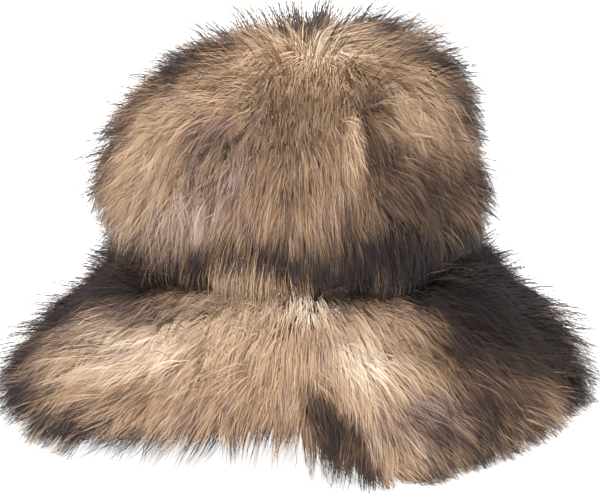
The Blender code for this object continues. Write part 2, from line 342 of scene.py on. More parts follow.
@dataclass(frozen=True)
class PhotoView:
    """Where the photo's camera stands: degrees, metres, and pixels for the focal length."""

    elevation: float = 15.0
    distance: float = 1.8
    focal: float = 2903.0
    target: tuple[float, float, float] = (0.0019, 0.0, 0.0998)

    def axes(self) -> tuple[np.ndarray, np.ndarray, np.ndarray]:
        """The way that the camera is turned.

        Returns:
            Its right, up and forward directions.
        """
        tilt = math.radians(self.elevation)
        forward = np.array([0.0, math.cos(tilt), -math.sin(tilt)])
        right = np.array([1.0, 0.0, 0.0])
        return right, np.cross(right, forward), forward

    def place(self) -> np.ndarray:
        """Where the camera stands."""
        return np.array(self.target) - self.axes()[2] * self.distance

    def project(self, points: np.ndarray) -> np.ndarray:
        """The photo's pixels at which points are seen.

        Args:
            points: Places in the frame, one a row.

        Returns:
            Pixels across and down, one pair a row.
        """
        right, up, forward = self.axes()
        seen = points - self.place()
        depth = seen @ forward
        across = PHOTO_WIDTH / 2 + self.focal * (seen @ right) / depth
        down = PHOTO_HEIGHT / 2 - self.focal * (seen @ up) / depth
        return np.stack([across, down], axis=1)

    def build(self) -> None:
        """Makes the camera and gives it to the scene."""
        data = bpy.data.cameras.new("camera")
        data.sensor_width = SENSOR_WIDTH
        data.lens = self.focal * SENSOR_WIDTH / PHOTO_WIDTH
        camera = bpy.data.objects.new("camera", data)
        bpy.context.scene.collection.objects.link(camera)
        camera.location = self.place()
        camera.rotation_euler = Vector(self.axes()[2]).to_track_quat("-Z", "Y").to_euler()
        bpy.context.scene.camera = camera


@dataclass(frozen=True)
class Ripple:
    """Smooth noise over space, about -1 to 1: a sum of waves about as long as the scale, in metres."""

    scale: float
    seed: int
    waves: int = 14
    spans: tuple[float, float] = (0.7, 1.5)

    def at(self, points: np.ndarray) -> np.ndarray:
        """The noise at points.

        Args:
            points: Places in the frame, one a row.

        Returns:
            One value a row.
        """
        chance = np.random.default_rng(self.seed)
        total = np.zeros(len(points))
        for _ in range(self.waves):
            way = chance.normal(size=3)
            way *= 2 * math.pi / (self.scale * np.linalg.norm(way) * chance.uniform(*self.spans))
            total += np.sin(points @ way + chance.uniform(0, 2 * math.pi))
        return total / math.sqrt(self.waves)


@dataclass(frozen=True)
class Variation:
    """How single hairs of any kind differ: lengths in spreads, fray in millimetres, roll in degrees.

    Bends are powers of the way along a hair, by which it leans to its tuft. The shown tip is the last
    joint's share in the place that a hair is coloured by. Lights and darks are places on the chart.
    """

    lengths: tuple[float, float] = (-2.2, 1.6)
    lock_bend: float = 2.0
    clump_bend: float = 1.4
    fray: float = 2.0
    shown_tip: float = 0.4
    light: float = 0.25
    light_spread: float = 0.05
    light_ripple: Ripple = Ripple(0.012, 77)
    lights: tuple[float, float] = (0.03, 0.47)
    dark: float = 0.7
    dark_spread: float = 0.25
    darks: tuple[float, float] = (0.15, 0.97)
    roll: float = 55.0
    widths: tuple[float, float] = (0.75, 1.2)


def unit(rows: np.ndarray) -> np.ndarray:
    """Each row at length one."""
    return rows / np.maximum(np.linalg.norm(rows, axis=-1, keepdims=True), TINY)


def laid(ways: np.ndarray, normals: np.ndarray) -> np.ndarray:
    """Directions laid along the cloth, each at length one."""
    return unit(ways - normals * (ways * normals).sum(axis=1, keepdims=True))


def turned(ways: np.ndarray, normals: np.ndarray, angles: np.ndarray) -> np.ndarray:
    """Directions turned about normals that they are square to, by angles in radians."""
    return ways * np.cos(angles)[:, None] + np.cross(normals, ways) * np.sin(angles)[:, None]


def smooth(values: np.ndarray, low: float, high: float) -> np.ndarray:
    """A smooth step from 0 at low to 1 at high."""
    share = np.clip((values - low) / (high - low), 0, 1)
    return share * share * (3 - 2 * share)


def bearing(points: np.ndarray) -> np.ndarray:
    """How far round the hat points lie, from 0 at the front to 1 back there."""
    return np.arctan2(points[:, 0], -points[:, 1]) / (2 * math.pi) % 1


def share_of(turns: np.ndarray, shares: int) -> np.ndarray:
    """The number of the even share that each part of a turn lies in."""
    return np.minimum((turns * shares).astype(int), shares - 1)


def linear(colour: tuple[int, int, int]) -> tuple[float, float, float, float]:
    """Takes a colour through the display's standard curve.

    Args:
        colour: Red, green and blue as the display shows them, from 0 to 255.

    Returns:
        The shader's own numbers, with an alpha of 1.
    """
    shares = [c / 255 for c in colour]
    plain = [s / 12.92 if s <= 0.04045 else ((s + 0.055) / 1.055) ** 2.4 for s in shares]
    return (*plain, 1.0)


class Graph:
    """A material's nodes, with short ways to add and join them.

    A Mix node has inputs of one name for each type, so those for colours go by their numbers.
    """

    mix_inputs: ClassVar[tuple[int, int, int]] = (0, 6, 7)
    mix_output: ClassVar[int] = 2

    def __init__(self, name: str) -> None:
        """Starts a material that has only its shader.

        Args:
            name: The material's name.
        """
        self.material = bpy.data.materials.new(name)
        self.material.use_nodes = True
        self.tree = self.material.node_tree
        self.shader = self.tree.nodes["Principled BSDF"]

    def node(self, kind: str, **settings: object) -> bpy.types.Node:
        """Adds a node.

        Args:
            kind: The node's type.
            settings: Its properties.

        Returns:
            The node.
        """
        made = self.tree.nodes.new(kind)
        for key, value in settings.items():
            setattr(made, key, value)
        return made

    def feed(self, socket: bpy.types.NodeSocket, value: object) -> None:
        """Gives a socket its value.

        Args:
            socket: A node's input.
            value: A number, a colour or another node's output.
        """
        if isinstance(value, bpy.types.NodeSocket):
            self.tree.links.new(value, socket)
        else:
            socket.default_value = value

    def dial(self, node: bpy.types.Node, values: dict[str, object]) -> None:
        """Gives a node's inputs, by name, numbers or other nodes' outputs."""
        for name, value in values.items():
            self.feed(node.inputs[name], value)

    def math(self, operation: str, *values: object) -> bpy.types.NodeSocket:
        """A sum of numbers or outputs.

        Args:
            operation: The Math node's operation.
            values: Its inputs.

        Returns:
            The result's socket.
        """
        made = self.node("ShaderNodeMath", operation=operation)
        for socket, value in zip(made.inputs, values):
            self.feed(socket, value)
        return made.outputs[0]

    def spread(
        self, value: object, source: tuple, target: tuple = (0.0, 1.0), kind: str = "LINEAR"
    ) -> bpy.types.NodeSocket:
        """A value taken from one span to another, and kept inside it.

        Args:
            value: The number.
            source: The span that it comes from.
            target: The span that it goes to.
            kind: LINEAR, or SMOOTHSTEP to ease it in and out.

        Returns:
            The result's socket.
        """
        made = self.node("ShaderNodeMapRange", interpolation_type=kind)
        names = "Value", "From Min", "From Max", "To Min", "To Max"
        self.dial(made, dict(zip(names, (value, *source, *target))))
        return made.outputs["Result"]

    def mix(self, first: object, second: object, share: object) -> bpy.types.NodeSocket:
        """A colour between two.

        Args:
            first: The colour at share 0.
            second: The colour at share 1.
            share: The share of the second.

        Returns:
            The colour's socket.
        """
        made = self.node("ShaderNodeMix", data_type="RGBA")
        for number, given in zip(self.mix_inputs, (share, first, second)):
            self.feed(made.inputs[number], given)
        return made.outputs[self.mix_output]

    def ramp(self, value: object, dyes: tuple[Dye, ...]) -> bpy.types.NodeSocket:
        """The colour of a cast at a tone.

        Args:
            value: The tone, from 0 to 1.
            dyes: The cast's dyes, darkest first.

        Returns:
            The colour's socket.
        """
        made = self.node("ShaderNodeValToRGB")
        stops = made.color_ramp.elements
        while len(stops) < len(dyes):
            stops.new(1.0)
        for stop, dye in zip(stops, dyes):
            stop.position = dye.tone
            stop.color = linear(dye.colour)
        self.feed(made.inputs["Fac"], value)
        return made.outputs["Color"]

    def finished(self, colour: bpy.types.NodeSocket, values: dict[str, object]) -> bpy.types.Material:
        """The material, once its shader has its colour and other inputs."""
        self.dial(self.shader, {"Base Color": colour, **values})
        return self.material


@dataclass(frozen=True)
class HairFinish:
    """Dyed hair: a tone of a cast, dimmer or brighter from hair to hair, with dark ends on some.

    The dark part is a share of a hair's length, and fades in over the shares before and after its
    start. Hairs of a paler tone have a paler dark end.
    """

    name: str = "dyed_hair"
    roughness: float = 0.50
    gloss: float = 0.10
    dimmest: float = 0.82
    brightest: float = 1.05
    longest_dark: float = 0.72
    fades_before: float = 0.16
    fades_after: float = 0.10
    pale_tones: tuple[float, float] = (0.45, 0.90)
    palest_dark: float = 0.74
    dark_end: tuple[int, int, int] = (44, 37, 38)

    def build(self) -> bpy.types.Material:
        """Makes the material.

        Returns:
            A material that reads only the hair chart.
        """
        graph = Graph(self.name)
        chart = graph.node("ShaderNodeUVMap", uv_map=CHART)
        place = graph.node("ShaderNodeSeparateXYZ")
        graph.dial(place, {"Vector": chart.outputs["UV"]})
        shade, row = place.outputs["X"], place.outputs["Y"]
        cool = graph.math("GREATER_THAN", row, 1 / len(Cast))
        half = graph.math("FRACT", graph.math("MULTIPLY", row, float(len(Cast))))
        step = graph.math("MULTIPLY", half, float(TONES))
        tone = graph.math("DIVIDE", graph.math("FLOOR", step), float(TONES - 1))
        along = graph.spread(graph.math("FRACT", step), (CHART_INSET, 1 - CHART_INSET))
        dyed = graph.mix(graph.ramp(tone, DYES[Cast.WARM]), graph.ramp(tone, DYES[Cast.COOL]), cool)
        lit = graph.node("ShaderNodeVectorMath", operation="SCALE")
        light = graph.spread(shade, (0.0, CHART_DARK), (self.dimmest, self.brightest))
        graph.feed(lit.inputs[0], dyed)
        graph.feed(lit.inputs["Scale"], light)
        dark = graph.spread(shade, (CHART_DARK, 1.0), (0.0, self.longest_dark))
        starts = graph.math("SUBTRACT", 1.0, dark)
        faint = graph.math("SUBTRACT", starts, self.fades_before)
        full = graph.math("ADD", starts, self.fades_after)
        ends = graph.spread(along, (faint, full), kind="SMOOTHSTEP")
        ends = graph.math("MULTIPLY", ends, graph.math("GREATER_THAN", shade, CHART_DARK))
        paler = graph.spread(tone, self.pale_tones, (1.0, self.palest_dark))
        ends = graph.math("MULTIPLY", ends, paler)
        colour = graph.mix(lit.outputs[0], linear(self.dark_end), ends)
        return graph.finished(colour, {"Roughness": self.roughness, "Specular IOR Level": self.gloss})


@dataclass(frozen=True)
class KnitFinish:
    """Dark knitted backing cloth: fine ribs of stitches with a slight mottle."""

    name: str = "knitted_backing"
    dark: tuple[int, int, int] = (70, 54, 42)
    light: tuple[int, int, int] = (128, 104, 82)
    ribs: float = 165.0
    courses: float = 230.0
    uneven: float = 1.2
    mottle: float = 90.0
    mottle_detail: float = 6.0
    mottle_share: float = 0.4
    relief: float = 0.4
    relief_strength: float = 0.5
    roughness: float = 0.9

    def build(self) -> bpy.types.Material:
        """Makes the material.

        Returns:
            A material that reads Object coordinates.
        """
        graph = Graph(self.name)
        where = graph.node("ShaderNodeTexCoord").outputs["Object"]
        heights = []
        for scale, direction in ((self.ribs, "DIAGONAL"), (self.courses, "Z")):
            wave = graph.node("ShaderNodeTexWave", wave_type="BANDS", bands_direction=direction)
            graph.dial(wave, {"Vector": where, "Scale": scale, "Distortion": self.uneven})
            heights.append(wave.outputs["Fac"])
        mottle = graph.node("ShaderNodeTexNoise")
        graph.dial(mottle, {"Vector": where, "Scale": self.mottle, "Detail": self.mottle_detail})
        height = graph.math("MULTIPLY", *heights)
        spots = graph.math("MULTIPLY", mottle.outputs["Fac"], self.mottle_share)
        share = graph.math("MULTIPLY_ADD", height, 1 - self.mottle_share, spots)
        colour = graph.mix(linear(self.dark), linear(self.light), share)
        bump = graph.node("ShaderNodeBump")
        graph.dial(
            bump, {"Strength": self.relief_strength, "Distance": self.relief * MM, "Height": height}
        )
        return graph.finished(colour, {"Normal": bump.outputs["Normal"], "Roughness": self.roughness})


@dataclass(frozen=True)
class FloorFinish:
    """Plain pale studio floor, lit through from below as a light table is."""

    name: str = "studio_floor"
    pale: tuple[int, int, int] = (246, 246, 246)
    paler: tuple[int, int, int] = (250, 250, 250)
    clouds: float = 3.0
    roughness: float = 0.8
    gloss: float = 0.1
    glow: float = 0.90

    def build(self) -> bpy.types.Material:
        """Makes the material.

        Returns:
            A material that reads Object coordinates.
        """
        graph = Graph(self.name)
        noise = graph.node("ShaderNodeTexNoise")
        where = graph.node("ShaderNodeTexCoord").outputs["Object"]
        graph.dial(noise, {"Vector": where, "Scale": self.clouds})
        colour = graph.mix(linear(self.pale), linear(self.paler), noise.outputs["Fac"])
        glow = {"Emission Color": colour, "Emission Strength": self.glow}
        return graph.finished(
            colour, {**glow, "Roughness": self.roughness, "Specular IOR Level": self.gloss}
        )


@dataclass
class Ground:
    """Where hairs root: faces of a cloth, one row a triangle."""

    corners: np.ndarray
    normals: np.ndarray
    keep: np.ndarray

    @property
    def areas(self) -> np.ndarray:
        """The area of each triangle."""
        first, second, third = self.corners.transpose(1, 0, 2)
        return np.linalg.norm(np.cross(second - first, third - first), axis=1) / 2

    def with_faces_of(self, other: "Ground") -> "Ground":
        """Both grounds as one."""
        pairs = zip(vars(self).values(), vars(other).values())
        return Ground(*(np.concatenate(pair) for pair in pairs))

    def scatter(self, count: int, chance: np.random.Generator) -> tuple[np.ndarray, ...]:
        """Spreads roots evenly by area.

        Args:
            count: How many roots.
            chance: The source of random numbers.

        Returns:
            The roots, the cloth's normals there and the share of the pile's length.
        """
        areas = self.areas
        picked = chance.choice(len(areas), size=count, p=areas / areas.sum())
        pair = np.sqrt(chance.random(count)), chance.random(count)
        shares = np.stack([1 - pair[0], pair[0] * (1 - pair[1]), pair[0] * pair[1]], axis=1)
        roots = np.einsum("nk,nkc->nc", shares, self.corners[picked])
        normals = unit(np.einsum("nk,nkc->nc", shares, self.normals[picked]))
        return roots, normals, self.keep[picked]


class Cloth:
    """One cloth piece of the frame, read for the faces that carry pile."""

    same_place: ClassVar[float] = 1e-5
    columns: ClassVar[int] = 72

    def __init__(self, node: str) -> None:
        """Reads a node's triangles and smooths their normals over each side of the wall.

        Args:
            node: The name of the cloth's node.
        """
        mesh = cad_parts[node].data
        mesh.calc_loop_triangles()
        places = np.empty(len(mesh.vertices) * 3, np.float32)
        mesh.vertices.foreach_get("co", places)
        index = np.empty(len(mesh.loop_triangles) * 3, np.int32)
        mesh.loop_triangles.foreach_get("vertices", index)
        self.corners = places.reshape(-1, 3)[index.reshape(-1, 3)].astype(float)
        first, second, third = self.corners.transpose(1, 0, 2)
        faces = np.cross(second - first, third - first)
        self.outer = (faces * self.corners.mean(axis=1)).sum(axis=1) > 0
        self.normals = np.empty_like(self.corners)
        for side in (self.outer, ~self.outer):
            keys = np.round(self.corners[side].reshape(-1, 3) / self.same_place).astype(np.int64)
            _, groups = np.unique(keys, axis=0, return_inverse=True)
            groups = groups.reshape(-1)
            sums = np.zeros((groups.max() + 1, 3))
            np.add.at(sums, groups, np.repeat(faces[side], 3, axis=0))
            self.normals[side] = unit(sums[groups]).reshape(-1, 3, 3)

    def outside(self) -> Ground:
        """The faces on the outside of the wall."""
        return self.chosen(self.outer, 1.0)

    def chosen(self, faces: np.ndarray, keep: float) -> Ground:
        """Some of the faces, with pile of a share of its length."""
        return Ground(self.corners[faces], self.normals[faces], np.full(int(faces.sum()), keep))

    def hem(self, depth: float, keep: float) -> Ground:
        """The faces inside the wall that lie close above its lower edge.

        Args:
            depth: How far up the hem goes.
            keep: The share of the pile's length there.

        Returns:
            Those faces.
        """
        middles = self.corners.mean(axis=1)
        points = self.corners.reshape(-1, 3)
        lowest = np.full(self.columns, np.inf)
        np.minimum.at(lowest, share_of(bearing(points), self.columns), points[:, 2])
        edge = lowest[share_of(bearing(middles), self.columns)]
        return self.chosen(~self.outer & (middles[:, 2] < edge + depth), keep)


@dataclass
class Tufts:
    """The middles of tufts of one size, and what sets each apart from the next.

    A piece of cloth has at least the fewest tufts, and none differs by more than the furthest, counted
    in spreads.
    """

    fewest: ClassVar[int] = 4
    furthest: ClassVar[float] = 2.0

    roots: np.ndarray
    normals: np.ndarray
    keep: np.ndarray
    turn: np.ndarray
    lift: np.ndarray
    stretch: np.ndarray

    @classmethod
    def spread(cls, ground: Ground, gathering: Gathering, chance: np.random.Generator) -> "Tufts":
        """Spreads tufts over the ground.

        Args:
            ground: Where they root.
            gathering: Their size and differences.
            chance: The source of random numbers.

        Returns:
            The tufts.
        """
        count = max(cls.fewest, int(ground.areas.sum() / (gathering.spacing * MM) ** 2))
        roots, normals, keep = ground.scatter(count, chance)
        draws = (chance.normal(size=count) for _ in range(3))
        turn, lift, stretch = (draw.clip(-cls.furthest, cls.furthest) for draw in draws)
        return cls(
            roots,
            normals,
            keep,
            np.radians(gathering.turn) * turn,
            np.radians(gathering.lift) * lift,
            1 + gathering.stretch * stretch,
        )

    def nearest(self, points: np.ndarray) -> np.ndarray:
        """Finds the tuft that is nearest to each point.

        Args:
            points: Places in the frame, one a row.

        Returns:
            The tufts' numbers.
        """
        tree = KDTree(len(self.roots))
        for index, root in enumerate(self.roots):
            tree.insert(root, index)
        tree.balance()
        return np.array([tree.find(point)[1] for point in points])


@dataclass
class Comb:
    """Which way the pile lies: down and outwards, and away from each parting.

    The lean weighs the ways to the side, to the front or back, and up.
    """

    partings: tuple[Parting, ...]
    lean: tuple[float, float, float]
    wander: float = 11.0
    ripple: Ripple = Ripple(scale=0.055, seed=5)

    def flow(self, roots: np.ndarray, normals: np.ndarray) -> np.ndarray:
        """The direction along the cloth in which hairs lie.

        Args:
            roots: Where the hairs root.
            normals: The cloth's normals there.

        Returns:
            One direction a row, along the cloth.
        """
        way = laid((unit(roots * (1, 1, 0)) + (0, 0, 1)) * self.lean, normals)
        for parting in self.partings:
            away = laid(parting.away(roots), normals)
            way = way + away * parting.pull * parting.near(roots)[:, None]
        turn = np.radians(self.wander) * self.ripple.at(roots)
        return turned(unit(way), normals, turn)


@dataclass
class Markings:
    """The colouring of one part of the hat: a mottled ground with the photo's patches over it.

    Edges are moved by pixels of the photo, and the crest's place and heights are in metres. Tips are the
    odds of a dark end where no patch lies. Together is the share of a clump's hairs that take the same
    draws, and apart is how far a hair's tone goes from the mean at its place to that of its own coat.
    """

    view: PhotoView
    patches: tuple[Patch, ...]
    ground: tuple[float, ...]
    tips: float = 0.12
    belt: tuple[float, float] = (0.28, 0.62)
    crest: float = 0.34
    crest_back: float = 0.065
    crest_heights: tuple[float, float] = (0.185, 0.230)
    belt_tips: float = 0.96
    edge: float = 7.0
    back_edge: float = 15.0
    wander: tuple[tuple[Ripple, Ripple], ...] = (
        (Ripple(0.060, 31), Ripple(0.020, 33)),
        (Ripple(0.060, 32), Ripple(0.020, 34)),
    )
    fine_wander: float = 0.6
    mottle: float = 0.9
    mottle_scale: float = 0.030
    mottle_seed: int = 41
    patch_fade: tuple[float, float] = (0.35, 1.50)
    together: float = 0.7
    coat_seed: int = 9
    tips_seed: int = 10
    apart: float = 0.26
    jitter: float = 0.030

    def paint(
        self,
        points: np.ndarray,
        normals: np.ndarray,
        clump: np.ndarray,
        chance: np.random.Generator,
    ) -> tuple[np.ndarray, np.ndarray, np.ndarray]:
        """Gives each hair a cast and tone, and its odds of a dark end.

        The back of the hat carries the front's patches mirrored, with their edges moved further. The
        mirror stands across the middle of the brim, and behind the crest of the crown.
        A belt of dark ends runs over the crest of the hat and down its sides.

        Args:
            points: Where each hair shows.
            normals: The cloth's normals at the roots.
            clump: The number of the clump that each hair is in.
            chance: The source of random numbers.

        Returns:
            The rows on the hair chart, the odds of a dark end and the draws to hold against them.
        """
        mirror = self.crest_back * smooth(points[:, 2], *self.crest_heights)
        behind = points[:, 1] > mirror
        faced = points.copy()
        faced[:, 1] = mirror - np.abs(points[:, 1] - mirror)
        seen = self.view.project(faced)
        edge = np.where(behind, self.back_edge, self.edge)
        for axis, (broad, fine) in enumerate(self.wander):
            seen[:, axis] += edge * (broad.at(points) + self.fine_wander * fine.at(points))
        shares = np.tile(self.ground, (len(points), 1))
        seeds = range(self.mottle_seed, self.mottle_seed + len(self.ground))
        mottle = [Ripple(self.mottle_scale, seed).at(points) for seed in seeds]
        shares *= np.exp(self.mottle * np.stack(mottle, axis=1))
        shares /= shares.sum(axis=1, keepdims=True)
        odds = np.full(len(points), self.tips)
        for patch in self.patches:
            tilt = math.radians(patch.tilt)
            right, down = seen[:, 0] - patch.x, seen[:, 1] - patch.y
            across = (right * math.cos(tilt) - down * math.sin(tilt)) / patch.across
            along = (right * math.sin(tilt) + down * math.cos(tilt)) / patch.down
            reach = 1 - smooth(np.hypot(across, along), *self.patch_fade)
            taken = patch.strength * reach
            shares *= (1 - taken)[:, None]
            shares[:, list(Coat).index(patch.coat)] += taken
            odds += (patch.tips - odds) * reach
        facing = np.where(behind[:, None], normals * (1, -1, 1), normals)
        seen_by = self.crest * facing[:, 2].clip(0, 1) - facing @ self.view.axes()[2]
        odds += (self.belt_tips - odds) * (1 - smooth(seen_by, *self.belt))
        sums = shares.cumsum(axis=1)
        draw = self.shared(clump, self.coat_seed, chance)[:, None] * sums[:, -1:]
        drawn = (draw > sums).sum(axis=1).clip(0, len(self.ground) - 1)
        cool = np.array([coat.value[0].value for coat in Coat])
        tones = np.array([coat.value[1] for coat in Coat])
        mean = shares @ tones / sums[:, -1]
        tone = mean + (tones[drawn] - mean) * self.apart + self.jitter * chance.normal(size=len(points))
        rows = cool[drawn] * TONES + np.round(tone.clip(0, 1) * (TONES - 1))
        return rows, odds, self.shared(clump, self.tips_seed, chance)

    def shared(self, clump: np.ndarray, seed: int, chance: np.random.Generator) -> np.ndarray:
        """Random numbers that most hairs of a clump have in common.

        Args:
            clump: The number of the clump that each hair is in.
            seed: The seed of the clumps' own numbers.
            chance: The source of random numbers for the other hairs.

        Returns:
            One number from 0 to 1 for each hair.
        """
        common = np.random.default_rng(seed).random(clump.max() + 1)[clump]
        own = chance.random(len(clump))
        return np.where(chance.random(len(clump)) < self.together, common, own)


@dataclass
class Hairs:
    """Finished hairs: joints from root to tip, with what their ribbons need."""

    paths: np.ndarray
    normals: np.ndarray
    widths: np.ndarray
    rolls: np.ndarray
    rows: np.ndarray
    shades: np.ndarray

    soften: ClassVar[float] = 8.0
    root_width: ClassVar[float] = 0.55
    full_from: ClassVar[float] = 0.35
    narrows_from: ClassVar[float] = 0.45
    narrows_by: ClassVar[float] = 0.62

    def part(self, chosen: np.ndarray) -> "Hairs":
        """Only the chosen hairs."""
        return Hairs(*(values[chosen] for values in vars(self).values()))

    def mesh(self, name: str) -> bpy.types.Mesh:
        """Joins the hairs' ribbons into one mesh with the hair chart on it.

        Args:
            name: The mesh's name.

        Returns:
            The mesh.
        """
        count, rings = self.paths.shape[:2]
        last = rings - 1
        ways = unit(np.gradient(self.paths, axis=1))
        normals = self.normals[:, None, :] * np.ones((1, rings, 1))
        flat = unit(np.cross(ways, normals))
        up = np.cross(flat, ways)
        sides = flat * np.cos(self.rolls)[:, None, None] + up * np.sin(self.rolls)[:, None, None]
        along = np.linspace(0, 1, rings)
        taper = self.root_width + (1 - self.root_width) * smooth(along, 0.0, self.full_from)
        taper -= self.narrows_by * smooth(along, self.narrows_from, 1.0)
        half = (self.widths[:, None] * taper)[:, :, None] * sides / 2
        shown = unit(np.cross(sides, ways) + self.soften * normals)
        left, right = self.paths - half, self.paths + half
        pairs = np.stack([left[:, :last], right[:, :last]], axis=2).reshape(count, 2 * last, 3)
        places = np.concatenate([pairs, self.paths[:, last:]], axis=1).reshape(-1, 3)
        quads = [[2 * k, 2 * k + 1, 2 * k + 3, 2 * k + 2] for k in range(last - 1)]
        pattern = np.array([c for quad in quads for c in quad] + [2 * last - 2, 2 * last - 1, 2 * last])
        corners = (np.arange(count)[:, None] * (2 * last + 1) + pattern).reshape(-1)
        starts = np.concatenate([4 * np.arange(last - 1), [4 * (last - 1)]])
        starts = (np.arange(count)[:, None] * len(pattern) + starts).reshape(-1)
        mesh = bpy.data.meshes.new(name)
        mesh.vertices.add(len(places))
        mesh.vertices.foreach_set("co", places.astype(np.float32).ravel())
        mesh.loops.add(len(corners))
        mesh.loops.foreach_set("vertex_index", corners.astype(np.int32))
        mesh.polygons.add(len(starts))
        mesh.polygons.foreach_set("loop_start", starts.astype(np.int32))
        mesh.update(calc_edges=True)
        mesh.polygons.foreach_set("use_smooth", np.ones(len(starts), bool))
        ring_of = np.concatenate([np.repeat(np.arange(last), 2), [last]])
        side_of = np.concatenate([np.tile([-1.0, 1.0], last), [0.0]])
        inside = CHART_INSET + (1 - 2 * CHART_INSET) * along[ring_of[pattern]]
        rows = (self.rows[:, None] + inside[None, :]) / (TONES * len(Cast))
        shades = self.shades[:, None] + CHART_HALF_WIDTH * side_of[pattern][None, :]
        layer = mesh.uv_layers.new(name=CHART)
        chart = np.stack([shades, rows], axis=2).astype(np.float32)
        layer.uv.foreach_set("vector", chart.ravel())
        mesh.normals_split_custom_set(shown[:, ring_of[pattern]].reshape(-1, 3))
        return mesh


@dataclass
class Growth:
    """One stand of hairs: a kind, how many to a square millimetre, and in how many pieces."""

    hair: HairKind
    density: float
    pieces: int = 1


@dataclass
class Pile:
    """The pile on one cloth piece of the hat. Seam, fade, hem, dome and room are in metres.

    On the seam the pile keeps the share at_seam of its length and stands up more by lift_at_seam
    degrees. Room is how far hairs may reach across, back and up, and beyond is the share of what goes
    past it that stays.
    """

    cloth: str
    solid: str
    slot: str
    comb: Comb
    growths: tuple[Growth, ...]
    markings: Markings
    seed: int
    seam: Optional[float] = None
    fade: float = 0.030
    at_seam: float = 0.80
    lift_at_seam: float = 0.0
    hem: Optional[float] = None
    hem_keep: float = 0.65
    trims: tuple[Trim, ...] = ()
    dome: Optional[float] = None
    room: tuple[float, float, float] = (0.195, 0.192, 0.246)
    beyond: float = 0.25
    vary: Variation = Variation()

    def build(self, finish: bpy.types.Material) -> None:
        """Grows the pile and makes pieces of it.

        Args:
            finish: The hair's material.
        """
        chance = np.random.default_rng(self.seed)
        cloth = Cloth(self.cloth)
        ground = self.rounded(cloth.outside())
        if self.hem:
            ground = ground.with_faces_of(cloth.hem(self.hem, self.hem_keep))
        locks = Tufts.spread(ground, LOCKS, chance)
        clumps = Tufts.spread(ground, CLUMPS, chance)
        for growth in self.growths:
            self.dress(growth, self.grow(growth, ground, locks, clumps, chance), finish)

    def near_seam(self, points: np.ndarray) -> np.ndarray:
        """Tells how near points are to the seam.

        Args:
            points: Places in the frame, one a row.

        Returns:
            One share a row, from 1 on the seam to 0 where its fade ends.
        """
        if self.seam is None:
            return np.zeros(len(points))
        return 1 - smooth(np.abs(points[:, 2] - self.seam), 0.0, self.fade)

    def depth(self, points: np.ndarray) -> np.ndarray:
        """Tells how deep the pile is.

        Args:
            points: Places in the frame, one a row.

        Returns:
            One share of the full depth a row.
        """
        share = 1 + (self.at_seam - 1) * self.near_seam(points)
        for trim in self.trims:
            share = share * (1 + (trim.keep - 1) * trim.near(points))
        return share

    def rounded(self, ground: Ground) -> Ground:
        """Gives the ground the normals of a dome, where the pile has one.

        Args:
            ground: Faces of the cloth.

        Returns:
            The same faces, with normals away from a point on the axis at the dome's height.
        """
        if self.dome is None:
            return ground
        return Ground(ground.corners, unit(ground.corners - (0.0, 0.0, self.dome)), ground.keep)

    def paths(
        self,
        hair: HairKind,
        roots: np.ndarray,
        normals: np.ndarray,
        turns: np.ndarray,
        lifts: np.ndarray,
        lengths: np.ndarray,
    ) -> np.ndarray:
        """Lets hairs grow from their roots, bend over and sag.

        Args:
            hair: The kind of hair.
            roots: Where they root.
            normals: The cloth's normals there.
            turns: How far each turns from the comb's way, in radians.
            lifts: How much more each stands up, in radians.
            lengths: Each hair's length.

        Returns:
            The joints of each hair from root to tip.
        """
        flow = turned(self.comb.flow(roots, normals), normals, turns)
        joints = [roots]
        for joint in range(hair.joints):
            share = (joint + 0.5) / hair.joints
            lift = np.radians(hair.root_lift + (hair.tip_lift - hair.root_lift) * share) + lifts
            way = flow * np.cos(lift)[:, None] + normals * np.sin(lift)[:, None]
            way[:, 2] -= hair.sag * share
            joints.append(joints[-1] + unit(way) * (lengths / hair.joints)[:, None])
        return np.stack(joints, axis=1)

    def held(self, paths: np.ndarray) -> np.ndarray:
        """Shortens the hairs that reach out of the pile's room.

        Args:
            paths: The joints of each hair.

        Returns:
            The joints, none of them far outside the room.
        """
        reach, start = np.abs(paths).max(axis=1), np.abs(paths[:, 0])
        allowed = self.room + (reach - self.room) * self.beyond
        share = np.where(reach > self.room, (allowed - start) / np.maximum(reach - start, MM), 1.0)
        return paths[:, :1] + (paths - paths[:, :1]) * share.min(axis=1)[:, None, None]

    def grow(
        self,
        growth: Growth,
        ground: Ground,
        locks: Tufts,
        clumps: Tufts,
        chance: np.random.Generator,
    ) -> Hairs:
        """Grows one stand of hairs.

        Args:
            growth: What is grown and how densely.
            ground: Where it roots.
            locks: The large tufts.
            clumps: The small tufts.
            chance: The source of random numbers.

        Returns:
            The hairs.
        """
        hair, vary = growth.hair, self.vary
        count = int(growth.density * ground.areas.sum() / MM**2)
        roots, normals, keep = ground.scatter(count, chance)
        lock, clump = locks.nearest(roots), clumps.nearest(roots)
        clump_lock = locks.nearest(clumps.roots)

        def settle(
            points: np.ndarray, keep: np.ndarray, in_lock: np.ndarray, in_clump: np.ndarray
        ) -> tuple[np.ndarray, np.ndarray, np.ndarray]:
            """Gives hairs what they have from the tufts that they are in.

            Args:
                points: Where they root.
                keep: The share of the pile's length there.
                in_lock: The number of the lock that each is in.
                in_clump: The number of the clump that each is in.

            Returns:
                Their turns and lifts in radians, and their lengths.
            """
            turn = locks.turn[in_lock] + clumps.turn[in_clump]
            lift = locks.lift[in_lock] + clumps.lift[in_clump]
            lift = lift + np.radians(self.lift_at_seam) * self.near_seam(points)
            stretch = locks.stretch[in_lock] * clumps.stretch[in_clump] * self.depth(points)
            return turn, lift, stretch * keep * hair.length * MM

